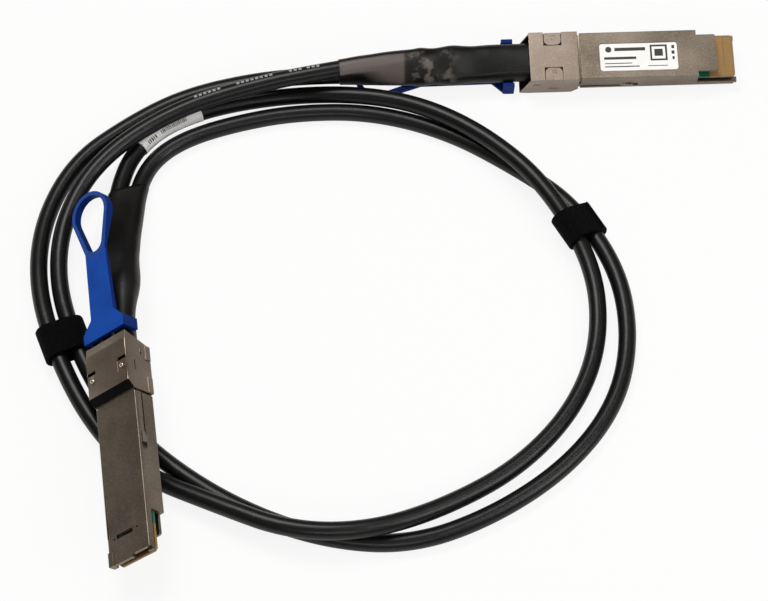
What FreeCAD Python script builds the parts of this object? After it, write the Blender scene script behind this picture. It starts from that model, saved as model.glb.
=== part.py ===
"""Direct attach copper cable: two round twin-axial cables joined to a pluggable module at each end.

Lengths are millimetres. Each plug is drawn in its own frame and then placed: x runs back from the nose,
y across, and z up from the label face, with the pull tab on the far side. The cables lie in one turn on the floor.
"""
import FreeCAD, Part
import math
import os

import Sketcher

os.makedirs("parts", exist_ok=True)
doc = FreeCAD.newDocument("AttachCable")
V = FreeCAD.Vector

# ---------------------------------------------------------------- driving dimensions
DIMENSIONS = {
    "nose": 0.6,               # front of the top shell
    "card_nose": 1.3,          # front edge of the paddle card
    "tongue_nose": 8.1,        # front of the bottom shell's tongue
    "bottom_nose": 15.2,       # front of the bottom shell at full width
    "shell_step": 58.1,        # where both shells narrow to go into the backshell
    "shell_back": 63.5,
    "half_width": 9.175,
    "rear_half": 8.5,          # half width inside the backshell, and the floor of the side grooves
    "inner_half": 7.275,
    "height": 8.5,
    "parting": 4.6,            # split line of the two shells, and the top of the card
    "roof": 1.2,
    "floor": 1.0,
    "rear_floor": 0.55,
    "tongue_half": 7.2,
    "card_half": 8.2,
    "card_thick": 1.0,
    "card_back": 50.0,
    "card_chamfer": 0.8,
    "key_slot_x": 9.1,
    "key_slot_wide": 1.5,
    "lip_low": 6.1,            # the side walls end here ahead of the bottom shell
    "lip_notch": 1.0,          # set-back of the roof's front edge on one side
    "notch_side": 1.5,
    "rib_back": 5.6,
    "pin_hole": 0.45,          # two small ejector holes beside the keying slot
    "pin_hole_deep": 0.5,
    "rail_start": 10.7,
    "rail_end": 26.0,
    "groove_start": 37.0,
    "groove_low": 5.0,
    "groove_high": 7.2,
    "backshell_half": 9.4,
    "backshell_front": 58.9,
    "backshell_top": 11.3,
    "backshell_foot": 76.8,    # rear edge at the label face
    "backshell_tail": 80.3,    # rear edge at the pull tab
    "sheet_steel": 0.4,
    "shoulder": 2.4,           # run and rise of the sloped front of the backshell
    "tail_bend": 77.3,
    "crimp_start": 65.0,
    "crimp_end": 71.2,
    "crimp_reach": 4.8,
    "dimple_x": 68.1,          # ring mark punched in each crimp tab
    "dimple_side": 7.4,
    "dimple_radius": 1.05,
    "seat_front": 65.8,        # shallow seat and slot at each edge of the backshell's top
    "seat_back": 70.0,
    "seat_inner": 5.0,
    "boss_x": 67.6,
    "boss_side": 7.0,
    "boss_radius": 0.95,
    "vent_front": 72.9,        # narrow slots through both side walls
    "vent_low": 3.9,
    "vent_high": 7.2,
    "arm_inner": 8.55,
    "arm_outer": 8.9,
    "arm_low": 5.2,
    "arm_high": 7.0,
    "arm_front": 39.0,
    "kick_out": 9.8,
    "plate_front": 61.8,
    "plate_back": 79.0,
    "plate_low": 9.55,
    "plate_high": 9.9,
    "tongue_back": 85.5,
    "tongue_inner": 2.2,
    "tongue_outer": 3.4,
    "window_front": 63.2,
    "window_back": 73.0,
    "window_inner": 3.9,
    "window_outer": 6.1,
    "clamp_front": 64.0,
    "clamp_back": 74.6,
    "clamp_half": 8.4,
    "clamp_low": 0.7,
    "clamp_high": 8.4,
    "post_front": 71.0,
    "post_back": 72.4,
    "post_high": 10.6,
    "spring_radius": 0.82,
    "spring_wire": 0.15,
    "tab_front": 82.4,
    "tab_half": 9.5,
    "tab_flare": 90.5,
    "strap_half": 5.4,
    "strap_end": 117.5,
    "strap_low": 9.4,
    "strap_high": 11.2,
    "ring_low": 8.4,
    "ring_high": 11.4,
    "ring_x": 130.7,
    "ring_radius": 9.9,
    "ring_hole": 7.1,
    "hole_neck": 120.3,
    "hole_half": 3.9,
    "ear_low": 4.4,
    "jacket_radius": 3.1,
    "cable_start": 66.0,
    "cable_bend": 82.0,
    "cable_side": 3.3,         # each cable's centre from the plug's centre line
    "cable_height": 4.5,
    "sleeve_wall": 0.8,
    "label_front": 22.5,
    "label_long": 28.5,
    "label_wide": 10.8,
    "label_thick": 0.15,
    "label_side": 4.4,         # the label's long edge from the plug's centre line
    "label_recess": 0.2,
    "wrap_wide": 12.0,
    "wrap_wall": 1.1,
    "wrap_gap": 0.7,
}

sheet = doc.addObject("Spreadsheet::Sheet", "Dimensions")
for row, (alias, size) in enumerate(DIMENSIONS.items(), start=1):
    sheet.set(f"A{row}", alias.replace("_", " "))
    sheet.set(f"B{row}", str(size))
    sheet.setAlias(f"B{row}", alias)
doc.recompute()


def dim(alias):
    """A driving dimension, read from the sheet."""
    return float(sheet.get(alias))


def measure(text):
    """The value of a sum of dimensions and numbers, such as 'height - roof'."""
    total, sign = 0.0, 1
    for word in str(text).split():
        if word in "+-":
            sign = 1 if word == "+" else -1
            continue
        negative = word.startswith("-")
        name = word.lstrip("-")
        value = dim(name) if name[0].isalpha() else float(name)
        total += sign * (-value if negative else value)
        sign = 1
    return total


def bound(text):
    """The same sum as an expression on the sheet."""
    words = []
    for word in str(text).split():
        name = word.lstrip("-")
        if name[0:1].isalpha():
            word = word.replace(name, "Dimensions." + name)
        words.append(word)
    return " ".join(words)


# ---------------------------------------------------------------- feature helpers
def new_body(name):
    body = doc.addObject("PartDesign::Body", name)
    body.Label = name
    return body


def new_sketch(body, plane, start):
    """An empty sketch on a plane of the body's origin, moved along its normal to start."""
    sketch = body.newObject("Sketcher::SketchObject", body.Name + "_sketch")
    side = next(f for f in body.Origin.OriginFeatures if f.Role == plane)
    sketch.AttachmentSupport = (side, [""])
    sketch.MapMode = "FlatFace"
    sketch.AttachmentOffset = FreeCAD.Placement(V(0, 0, measure(start)), FreeCAD.Rotation())
    sketch.setExpression("AttachmentOffset.Base.z", bound(start))
    return sketch


def outline(sketch, corners):
    """A closed outline with every corner tied to the sheet."""
    first = sketch.GeometryCount
    places = [V(measure(x), measure(y), 0) for x, y in corners]
    count = len(corners)
    for i in range(count):
        sketch.addGeometry(Part.LineSegment(places[i], places[(i + 1) % count]))
    for i in range(count):
        sketch.addConstraint(Sketcher.Constraint("Coincident", first + i, 2, first + (i + 1) % count, 1))
    for i, (x, y) in enumerate(corners):
        for kind, text, value in (("DistanceX", x, places[i].x), ("DistanceY", y, places[i].y)):
            index = sketch.addConstraint(Sketcher.Constraint(kind, -1, 1, first + i, 1, value))
            sketch.setExpression(f"Constraints[{index}]", bound(text))


def circle(sketch, x, y, radius):
    """A circle with its centre tied to the sheet."""
    index = sketch.addGeometry(Part.Circle(V(measure(x), measure(y), 0), V(0, 0, 1), measure(radius)))
    for kind, text in (("DistanceX", x), ("DistanceY", y)):
        k = sketch.addConstraint(Sketcher.Constraint(kind, -1, 1, index, 3, measure(text)))
        sketch.setExpression(f"Constraints[{k}]", bound(text))
    k = sketch.addConstraint(Sketcher.Constraint("Radius", index, measure(radius)))
    sketch.setExpression(f"Constraints[{k}]", bound(radius))


def box_corners(x0, x1, y0, y1):
    return [(x0, y0), (x1, y0), (x1, y1), (x0, y1)]


def opposite(text):
    """The same sum with every sign turned."""
    swap = {"+": "-", "-": "+"}
    words = [swap.get(word, word) for word in str(text).split()]
    words[0] = words[0][1:] if words[0].startswith("-") else "-" + words[0]
    return " ".join(words)


def both_sides(x0, x1, y0, y1):
    """A rectangle seen from above, and its mirror image on the other side of the plug."""
    return [box_corners(x0, x1, y0, y1), box_corners(x0, x1, opposite(y1), opposite(y0))]


def both_flanks(y0, y1, z0, z1):
    """A rectangle seen from the nose, and its mirror image on the other side of the plug."""
    return [box_corners(y0, y1, z0, z1), box_corners(opposite(y1), opposite(y0), z0, z1)]


def mirrored(half):
    """A closed outline seen from the nose, from the points of its +y half."""
    return half + [(opposite(y), z) for y, z in reversed(half)]


def extrude(body, kind, plane, start, outlines, length, symmetric=False, circles=()):
    """A pad or a pocket of one sketch. A pocket runs against the plane's normal."""
    sketch = new_sketch(body, plane, start)
    for corners in outlines:
        outline(sketch, corners)
    for x, y, radius in circles:
        circle(sketch, x, y, radius)
    feature = body.newObject("PartDesign::" + kind, f"{body.Name}_{kind.lower()}")
    feature.Profile = sketch
    feature.setExpression("Length", bound(length))
    feature.Midplane = symmetric
    body.Tip = feature
    return feature


def pad(body, plane, start, outlines, length, **more):
    return extrude(body, "Pad", plane, start, outlines, length, **more)


def pocket(body, plane, start, outlines, length, **more):
    return extrude(body, "Pocket", plane, start, outlines, length, **more)


def round_edges(body, radius, wanted):
    """Fillets the edges of the newest feature whose middle and direction pass the test."""
    doc.recompute()
    base = body.Tip
    names = []
    for index, edge in enumerate(base.Shape.Edges, start=1):
        middle = edge.valueAt((edge.FirstParameter + edge.LastParameter) / 2)
        run = edge.Vertexes[-1].Point - edge.Vertexes[0].Point
        if run.Length > 1e-6 and wanted(middle, run.normalize()):
            names.append(f"Edge{index}")
    fillet = body.newObject("PartDesign::Fillet", body.Name + "_fillet")
    fillet.Base = (base, names)
    fillet.Radius = radius
    body.Tip = fillet
    return fillet


def solid_feature(name, shape):
    """A piece that neither sketches nor primitives suit, such as a swept tube or a set of like solids."""
    piece = doc.addObject("Part::Feature", name)
    piece.Label = name
    piece.Shape = shape
    return piece


# ---------------------------------------------------------------- the pieces of a plug
def top_shell(name):
    """Die-cast upper half, open underneath: a keyed nose with short side walls, and a latch groove on each side."""
    body = new_body(name)

    def section(half):
        return [(half, "parting"), (half, "height"), (opposite(half), "height"), (opposite(half), "parting"),
                ("-inner_half", "parting"), ("-inner_half", "height - roof"),
                ("inner_half", "height - roof"), ("inner_half", "parting")]

    pad(body, "YZ_Plane", "nose", [section("half_width")], "shell_step - nose")
    round_edges(body, 0.3, lambda at, run: abs(run.x) > 0.9 and at.z > 8.4 and abs(at.y) > 9)
    pad(body, "YZ_Plane", "shell_step", [section("rear_half")], "shell_back - shell_step")
    pocket(body, "YZ_Plane", "shell_step", both_flanks("rear_half", "half_width + 1", "groove_low", "groove_high"),
           "shell_step - groove_start")
    pocket(body, "XY_Plane", "height",
           [box_corners("key_slot_x", "key_slot_x + key_slot_wide", "-2.5", "4.8")], "roof + 0.1")
    pocket(body, "XY_Plane", "lip_low",
           both_sides("nose - 1", "bottom_nose", "inner_half - 0.5", "half_width + 1"), "lip_low - parting")
    pocket(body, "XY_Plane", "height",
           [box_corners("nose - 1", "nose + lip_notch", "-half_width - 1", "-notch_side")], "roof + 0.1")
    pocket(body, "XY_Plane", "height",
           [box_corners("rail_start", "rail_end", "half_width - 1.1", "half_width - 0.5")], "0.5")
    pocket(body, "XY_Plane", "height",
           [box_corners("rib_back", "rail_start", "half_width - 0.35", "half_width + 1")], "height - parting")
    pad(body, "XY_Plane", "height", [box_corners("nose", "rib_back", "half_width - 1.9", "half_width")], "0.25")
    pocket(body, "XY_Plane", "height", [], "pin_hole_deep",
           circles=[("9.4", "6", "pin_hole"), ("9.9", "-4.6", "pin_hole")])
    return body


def bottom_shell(name):
    """Die-cast lower half: a tray with a rabbet for the card, and a narrower tongue under the contacts."""
    body = new_body(name)
    ledge = "parting - card_thick"
    pad(body, "YZ_Plane", "bottom_nose", [mirrored([
        ("inner_half", "floor"), ("inner_half", ledge), ("card_half + 0.1", ledge), ("card_half + 0.1", "parting"),
        ("half_width", "parting"), ("half_width", "0"),
    ])], "shell_step - bottom_nose")
    round_edges(body, 0.3, lambda at, run: abs(run.x) > 0.9 and at.z < 0.1)
    pad(body, "YZ_Plane", "shell_step", [mirrored([
        ("inner_half", "rear_floor + 0.7"), ("inner_half", "parting"), ("rear_half", "parting"),
        ("rear_half", "rear_floor"),
    ])], "shell_back - shell_step")
    pad(body, "XY_Plane", "0", [box_corners("tongue_nose", "bottom_nose", "-tongue_half", "tongue_half")], "floor")
    round_edges(body, 0.8, lambda at, run: abs(run.z) > 0.9 and abs(at.x - dim("tongue_nose")) < 0.1)
    pocket(body, "XY_Plane", "label_recess",
           [box_corners("label_front - 0.2", "label_front + label_long + 0.2",
                        "label_side - label_wide - 0.2", "label_side + 0.2")], "label_recess + 1")
    return body


def paddle_card(name):
    """Circuit board whose front edge carries the contacts, with chamfered corners."""
    body = new_body(name)
    pad(body, "XY_Plane", "parting - card_thick", [[
        ("card_nose", "-card_half + card_chamfer"), ("card_nose + card_chamfer", "-card_half"),
        ("card_back", "-card_half"), ("card_back", "card_half"),
        ("card_nose + card_chamfer", "card_half"), ("card_nose", "card_half - card_chamfer"),
    ]], "card_thick")
    return body


def card_contacts(name):
    """Two rows of gold pads on each face of the card."""
    count, pitch, wide, long, plating = 19, 0.77, 0.5, 2.6, 0.04
    card_top = dim("parting")
    pads = []
    for z in (card_top, card_top - dim("card_thick") - plating):
        for x in (dim("card_nose") + 0.7, dim("card_nose") + 3.9):
            for i in range(count):
                y = (i - (count - 1) / 2) * pitch
                pads.append(Part.makeBox(long, wide, plating, V(x, y - wide / 2, z)))
    return solid_feature(name, Part.makeCompound(pads))


def memory_chip(name):
    """Identity memory chip soldered on the card."""
    body = new_body(name)
    pad(body, "XY_Plane", "parting", [box_corners("28", "32", "-2", "2")], "0.8")
    return body


def conductor_pairs(name):
    """Sixteen insulated twin-axial pairs, eight soldered to each face of the card's back edge."""
    count, pitch, radius, lap = 8, 1.7, 0.45, 4.0
    card_top = dim("parting")
    length = dim("clamp_front") - dim("card_back") + lap
    pairs = []
    for z in (card_top + radius, card_top - dim("card_thick") - radius):
        for i in range(count):
            start = V(dim("card_back") - lap, (i - (count - 1) / 2) * pitch, z)
            pairs.append(Part.makeCylinder(radius, length, start, V(1, 0, 0)))
    return solid_feature(name, Part.makeCompound(pairs))


def strain_clamp(name):
    """Block that grips both cable jackets, with a post behind each return spring."""
    body = new_body(name)
    pad(body, "YZ_Plane", "clamp_front", [box_corners("-clamp_half", "clamp_half", "clamp_low", "clamp_high")],
        "clamp_back - clamp_front")
    grip = "jacket_radius + 0.02"
    pocket(body, "YZ_Plane", "clamp_back + 1", [], "clamp_back - clamp_front + 2",
           circles=[("cable_side", "cable_height", grip), ("-cable_side", "cable_height", grip)])
    pad(body, "XY_Plane", "clamp_high - 0.1",
        both_sides("post_front", "post_back", "window_inner + 0.3", "window_outer - 0.3"),
        "post_high - clamp_high + 0.1")
    return body


def backshell(name):
    """Folded steel cover over the strain relief: sloped front, long tail over the tab, two crimp tabs."""
    body = new_body(name)
    front, tail, top = "backshell_front", "backshell_tail", "backshell_top"
    pad(body, "XZ_Plane", "0", [[
        (front, "0.1"), (front, "backshell_top - shoulder"), ("backshell_front + shoulder", top),
        ("tail_bend", top), (tail, "backshell_top - 0.4"), ("backshell_foot", "0.1"),
    ]], "backshell_half + backshell_half", symmetric=True)
    round_edges(body, 0.35, lambda at, run: abs(run.x) > 0.65 and abs(at.y) > 9.3 and at.z > 9)
    pocket(body, "XZ_Plane", "0", [[
        ("50", "-1"), ("50", "height + 0.05"), ("backshell_front + 0.27", "height + 0.05"),
        ("backshell_front + shoulder + 0.17", "backshell_top - sheet_steel"),
        ("tail_bend", "backshell_top - sheet_steel"), ("90", "backshell_top - sheet_steel - 0.8"), ("90", "-1"),
    ]], "backshell_half + backshell_half - sheet_steel - sheet_steel", symmetric=True)
    pad(body, "XY_Plane", "-0.3",
        both_sides("crimp_start", "crimp_end", "backshell_half - crimp_reach", "backshell_half"),
        "sheet_steel + 0.02")
    reach = dim("backshell_half") - dim("crimp_reach")
    round_edges(body, 1.8, lambda at, run: abs(run.z) > 0.9 and at.z < 0.2 and abs(abs(at.y) - reach) < 0.05)
    pocket(body, "XY_Plane", top, both_sides("seat_front", "seat_back", "seat_inner", "backshell_half + 1"), "0.2")
    pocket(body, "XY_Plane", top, both_sides("seat_back - 0.1", "seat_back + 1", "seat_inner + 0.4", "9"), "1")
    pad(body, "XY_Plane", "backshell_top - 0.3", [], "0.5",
        circles=[("boss_x", "boss_side", "boss_radius"), ("boss_x", "-boss_side", "boss_radius")])
    pocket(body, "XZ_Plane", "0",
           [box_corners("vent_front", "vent_front + 2.8", "vent_low", "vent_low + 0.5"),
            box_corners("seat_front + 0.2", "seat_back - 0.2", "vent_high", "vent_high + 0.4")], "30",
           symmetric=True)
    pocket(body, "XY_Plane", "-0.15", [], "1",
           circles=[("dimple_x", side, ring) for side in ("dimple_side", "-dimple_side")
                    for ring in ("dimple_radius", "dimple_radius - 0.4")])
    return body


def backshell_cover(name):
    """Lower cover plate with side flanges, cut away where the crimp tabs fold over it."""
    body = new_body(name)
    flange = "backshell_half + 0.35"
    pad(body, "YZ_Plane", "backshell_front", [mirrored([
        ("backshell_half", "0.1"), ("backshell_half", "2.1"), (flange, "2.1"), (flange, "-0.3"),
    ])], "backshell_foot - backshell_front")
    round_edges(body, 0.25, lambda at, run: abs(run.x) > 0.9 and at.z < -0.2)
    pocket(body, "XY_Plane", "3",
           both_sides("crimp_start - 0.2", "crimp_end + 0.2", "backshell_half - crimp_reach - 0.2",
                      "backshell_half + 2"), "4")
    return body


def release_slider(name):
    """Stamped steel slider: a windowed cross plate and two long arms that end in kick-outs."""
    body = new_body(name)
    plate = "plate_high - plate_low"
    pad(body, "XY_Plane", "plate_low", [box_corners("plate_front", "plate_back", "-arm_outer", "arm_outer")], plate)
    pad(body, "XY_Plane", "plate_low",
        both_sides("plate_back - 1", "tongue_back", "tongue_inner", "tongue_outer"), plate)
    pocket(body, "XY_Plane", "plate_high + 1",
           both_sides("window_front", "window_back", "window_inner", "window_outer"), "3")
    pad(body, "YZ_Plane", "plate_front + 4", both_flanks("arm_inner", "arm_outer", "arm_low", "plate_high"), "9")
    pad(body, "YZ_Plane", "arm_front", both_flanks("arm_inner", "arm_outer", "arm_low", "arm_high"),
        "plate_front + 4.1 - arm_front")
    kick = [("arm_front", "arm_outer - 0.1"), ("arm_front + 5", "arm_outer - 0.1"), ("arm_front + 5", "arm_outer"),
            ("arm_front + 1.4", "kick_out"), ("arm_front", "kick_out")]
    pad(body, "XY_Plane", "arm_low", [kick, [(x, opposite(y)) for x, y in reversed(kick)]], "arm_high - arm_low")
    return body


def return_spring(name, side):
    """Compression spring between the front edge of its window and the post on the clamp."""
    wire, radius, turns = dim("spring_wire"), dim("spring_radius"), 5
    length = dim("post_front") - dim("window_front") - 2 * wire
    middle = V(dim("window_front") + wire, side * (dim("window_inner") + dim("window_outer")) / 2,
               (dim("plate_low") + dim("plate_high")) / 2)
    coil = Part.makeHelix(length / turns, length, radius)
    corners = [V(radius - wire, 0, 0), V(radius, 0, -wire), V(radius + wire, 0, 0), V(radius, 0, wire)]
    bead = Part.makePolygon(corners + corners[:1])
    spring = Part.Wire(coil.Edges).makePipeShell([bead], True, True)
    spring.Placement = FreeCAD.Placement(middle, FreeCAD.Rotation(V(0, 1, 0), 90))
    return solid_feature(name, Part.makeCompound([spring]))


def teardrop(neck_x, neck_half, radius, low, high):
    """A round end on the tab's centre line, drawn out forward to a neck, between two heights."""
    x = dim("ring_x")
    reach, rise = x - neck_x, neck_half
    span = math.hypot(reach, rise)
    lean = math.acos(radius / span) + math.atan2(rise, reach)
    touch = V(x - radius * math.cos(lean), radius * math.sin(lean), 0)
    neck = V(neck_x, neck_half, 0)
    touch_below, neck_below = V(touch.x, -touch.y, 0), V(neck_x, -neck_half, 0)
    rim = [Part.LineSegment(neck, touch), Part.Arc(touch, V(x + radius, 0, 0), touch_below),
           Part.LineSegment(touch_below, neck_below),
           Part.Arc(neck_below, V(neck_x - 0.6 * neck_half, 0, 0), neck)]
    face = Part.Face(Part.Wire([piece.toShape() for piece in rim]))
    face.translate(V(0, 0, low))
    return face.extrude(V(0, 0, high - low))


def pull_tab(name):
    """Moulded tab: a collar with two side ears, a flat strap, and a finger loop with a deeper rim."""
    body = new_body(name + "_strap")
    flat = [("tab_front", "-tab_half"), ("tab_front + 3.6", "-tab_half"), ("tab_flare", "-strap_half"),
            ("strap_end", "-strap_half")]
    pad(body, "XY_Plane", "strap_low", [flat + [(x, opposite(y)) for x, y in reversed(flat)]],
        "strap_high - strap_low")
    corners = (dim("tab_flare"), dim("tab_front") + 3.6)
    round_edges(body, 1.2, lambda at, run: abs(run.z) > 0.9 and min(abs(at.x - x) for x in corners) < 0.1)
    pad(body, "XY_Plane", "ear_low", both_sides("tab_front", "tab_front + 4.2", "tab_half - 1.5", "tab_half"),
        "strap_high - ear_low - 0.3")
    pocket(body, "XY_Plane", "plate_high",
           both_sides("tab_front - 1", "tongue_back", "tongue_inner", "tongue_outer"), "plate_high - plate_low")
    low, high = dim("ring_low"), dim("ring_high")
    rim = teardrop(dim("strap_end") - 1, dim("strap_half"), dim("ring_radius"), low, high)
    loop = solid_feature(name + "_rim", rim)
    joined = doc.addObject("Part::Fuse", name + "_joined")
    joined.Base, joined.Tool = body, loop
    opening = teardrop(dim("hole_neck"), dim("hole_half"), dim("ring_hole"), low - 1, high + 1)
    hole = solid_feature(name + "_hole", opening)
    tab = doc.addObject("Part::Cut", name)
    tab.Base, tab.Tool = joined, hole
    tab.Label = name
    return tab


def shell_label(name):
    """Thin paper label on the face of the bottom shell, with rounded corners."""
    body = new_body(name)
    pad(body, "XY_Plane", "label_recess - label_thick",
        [box_corners("label_front", "label_front + label_long", "label_side - label_wide", "label_side")],
        "label_thick")
    round_edges(body, 1.0, lambda at, run: abs(run.z) > 0.9)
    return body


# ---------------------------------------------------------------- cables
CABLE_1 = [
    (-94.7, -4, 12.4), (-95.4, 14, 8.8), (-95.8, 32, 5.2), (-95.2, 48, 4), (-91, 63.5, 3.4),
    (-80, 75.8, 3.4), (-62, 84, 3.3), (-36, 89.1, 3.3), (-9, 86.7, 7.7), (14, 81.4, 8.3), (36, 67.8, 10),
    (57, 46.5, 10.6), (73.5, 16, 5.8), (75, -13, 3.2), (65.5, -39.5, 3.2), (46, -62, 3.2), (20.5, -78, 5.2),
    (-5, -89, 10.3), (-31, -89, 10.6), (-56, -78, 8.2), (-81.5, -65, 3.2), (-99, -46, 3.2),
    (-112, -22, 5.4), (-121.5, 7, 5.2), (-121.5, 35, 3.2), (-111.5, 60, 3.2), (-93, 76, 3.4),
    (-73, 87.3, 5.2), (-46, 92.6, 8.2), (-22, 94, 9.2), (1, 93.9, 9), (23, 94.6, 8.3),
]
CABLE_2 = [
    (-89.1, -3.5, 16.6), (-88.9, 14, 12.6), (-88.8, 31, 7.4), (-88.2, 48, 4), (-83.5, 60.5, 3.2),
    (-73, 69.5, 3.2), (-56, 76.2, 3.2), (-33, 81.5, 3.2), (-5, 81.9, 3.2), (23, 73.5, 3.2), (48, 57.5, 3.2),
    (67, 40.5, 5.5), (82, 14, 5.6), (85.3, -12.5, 3.2), (79.3, -38.5, 3.2), (62.5, -61.5, 3.2),
    (37, -80, 3.2), (9, -91, 3.2), (-20, -88.8, 3.2), (-48, -78, 3.2), (-73, -61.5, 3.2), (-92, -42.5, 3.2),
    (-105.3, -19, 5.2), (-114.8, 9, 5.2), (-113.5, 35, 6.8), (-101.5, 58, 9.8), (-76, 77.3, 11.2),
    (-47, 87, 13.2), (-22, 91.2, 15.6), (1, 95.8, 15.4), (23, 100.6, 11.9),
]


def cable_path(name, points, side):
    """Straight runs joined by tangent arcs, from one plug's clamp to the other's. Prints the tightest radius."""
    grip = [V(dim("cable_start"), side, dim("cable_height")), V(dim("cable_bend"), side, dim("cable_height"))]
    points = [V(*p) + ORIGIN for p in points]
    points = [places["plug_a"].multVec(p) for p in grip] + points
    points += [places["plug_b"].multVec(V(p.x, -p.y, p.z)) for p in reversed(grip)]
    runs = [(b - a).Length for a, b in zip(points, points[1:])]
    edges, start, radii = [], points[0], []
    for i in range(1, len(points) - 1):
        ahead, back = (points[i + 1] - points[i]).normalize(), (points[i - 1] - points[i]).normalize()
        reach = 0.45 * min(runs[i - 1], runs[i])
        turn = math.pi - ahead.getAngle(back)
        radii.append(reach / math.tan(turn / 2))
        arc_start, arc_end = points[i] + back * reach, points[i] + ahead * reach
        inward = (ahead + back).normalize()
        middle = points[i] + inward * (math.hypot(radii[-1], reach) - radii[-1])
        edges.append(Part.LineSegment(start, arc_start).toShape())
        edges.append(Part.Arc(arc_start, middle, arc_end).toShape())
        start = arc_end
    edges.append(Part.LineSegment(start, points[-1]).toShape())
    print(f"{name}: {sum(e.Length for e in edges):.0f} mm long, tightest radius {min(radii):.1f} mm")
    return edges


def station(edges, along):
    """The point and direction at a distance along a path, or before its end when the distance is negative."""
    if along < 0:
        along += sum(e.Length for e in edges)
    for edge in edges:
        if along <= edge.Length:
            parameter = edge.getParameterByLength(along)
            return edge.valueAt(parameter), edge.tangentAt(parameter).normalize()
        along -= edge.Length
    return edges[-1].valueAt(edges[-1].LastParameter), edges[-1].tangentAt(edges[-1].LastParameter).normalize()


def stretch(edges, begin, end):
    """The part of a path between two distances."""
    pieces = []
    for edge in edges:
        low, high = max(begin, 0), min(end, edge.Length)
        if high - low > 1e-3:
            pieces.append(edge.Curve.toShape(edge.getParameterByLength(low), edge.getParameterByLength(high)))
        begin, end = begin - edge.Length, end - edge.Length
    return pieces


def tube(edges, radius):
    """A round bar swept along a path, its volume compared with section times length."""
    wire = Part.Wire(edges)
    first = edges[0]
    ring = Part.Circle(first.valueAt(first.FirstParameter), first.tangentAt(first.FirstParameter), radius)
    bar = wire.makePipeShell([Part.Wire([ring.toShape()])], True, False)
    expected = math.pi * radius ** 2 * wire.Length
    if abs(bar.Volume - expected) > 0.01 * expected:
        raise RuntimeError(f"a tube's volume is {bar.Volume:.0f}, not {expected:.0f}")
    return bar


def pair_outline(first, second, axis, radius):
    """The outline of a band drawn tight round two parallel cables, square to the axis."""
    apart = second - first
    apart = apart - axis * apart.dot(axis)
    middle, half = (first + second) / 2, apart.Length / 2
    across = apart.normalize()
    up = axis.cross(across).normalize()
    left, right = middle - across * half, middle + across * half
    sides = [
        Part.LineSegment(left + up * radius, right + up * radius),
        Part.Arc(right + up * radius, right + across * radius, right - up * radius),
        Part.LineSegment(right - up * radius, left - up * radius),
        Part.Arc(left - up * radius, left - across * radius, left + up * radius),
    ]
    return Part.Wire([side.toShape() for side in sides])


def shrink_sleeve(name, paths, begin, end):
    """Heat-shrink sleeve drawn round both cables, following their twist between two distances."""
    radius = dim("jacket_radius") + dim("sleeve_wall")
    outlines = []
    for i in range(9):
        along = begin + (end - begin) * i / 8
        (first, run_1), (second, run_2) = (station(path, along) for path in paths)
        outlines.append(pair_outline(first, second, (run_1 + run_2).normalize(), radius))
    sleeve = Part.makeLoft(outlines, True, False)
    for path in paths:
        length = sum(e.Length for e in path)
        low, high = sorted(abs(s) if begin > 0 else length - abs(s) for s in (begin, end))
        bore = tube(stretch(path, low - 2, high + 2), dim("jacket_radius") + 0.03)
        sleeve = sleeve.cut(bore)
    return solid_feature(name, sleeve)


def hook_wrap(name, paths, centre):
    """Hook-and-loop strap wound round both cables, its loose end lapped over the top."""
    centre = V(*centre) + ORIGIN
    near = []
    for path in paths:
        steps = [station(path, 2.0 * i) for i in range(int(sum(e.Length for e in path) / 2))]
        near.append(min(steps, key=lambda step: (step[0] - centre).Length))
    axis = (near[0][1] + near[1][1]).normalize()
    inner = dim("jacket_radius") + dim("wrap_gap")
    wide = dim("wrap_wide")
    begin = axis * (-wide / 2)

    def band(radius):
        face = Part.Face(pair_outline(near[0][0], near[1][0], axis, radius))
        face.translate(begin)
        return face.extrude(axis * wide)

    strap = band(inner + dim("wrap_wall")).cut(band(inner))
    lap = band(inner + 1.9 * dim("wrap_wall")).cut(band(inner + dim("wrap_wall") - 0.05))
    middle = (near[0][0] + near[1][0]) / 2
    keep = Part.makeBox(40, 40, 40, middle - V(20, 20, 0))
    return solid_feature(name, strap.fuse(lap.common(keep)).removeSplitter())


# ---------------------------------------------------------------- the assembly
ORIGIN = V(-10.45, -4.52, 0)
PLUGS = {
    "plug_a": (V(-76.1, -102.5, 13.1), (V(-0.136, 0.991, 0), V(-0.642, -0.088, 0.761))),
    "plug_b": (V(130.0, 102.0, 13.106), (V(-0.9994, -0.0349, 0), V(-0.0068, 0.1941, -0.981))),
}
PIECES = (top_shell, bottom_shell, paddle_card, card_contacts, memory_chip, conductor_pairs, strain_clamp,
          backshell, backshell_cover, release_slider, pull_tab)


def placement(corner, directions):
    """Where a plug lies: its nose, the way its body runs back, and the way its tab side faces."""
    along, up = directions
    along = V(along).normalize()
    across = V(up).cross(along).normalize()
    up = along.cross(across)
    turn = FreeCAD.Rotation(along, across, up, "ZXY")
    return FreeCAD.Placement(corner + ORIGIN, turn)


kept = []
places = {plug: placement(corner, directions) for plug, (corner, directions) in PLUGS.items()}
for plug, place in places.items():
    made = [make(f"{plug}_{make.__name__}") for make in PIECES]
    made += [return_spring(f"{plug}_return_spring_{side}", sign) for side, sign in (("left", 1), ("right", -1))]
    if plug == "plug_b":
        made.append(shell_label("plug_b_label"))
    doc.recompute()
    for piece in made:
        piece.Placement = place
    kept += made

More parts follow.
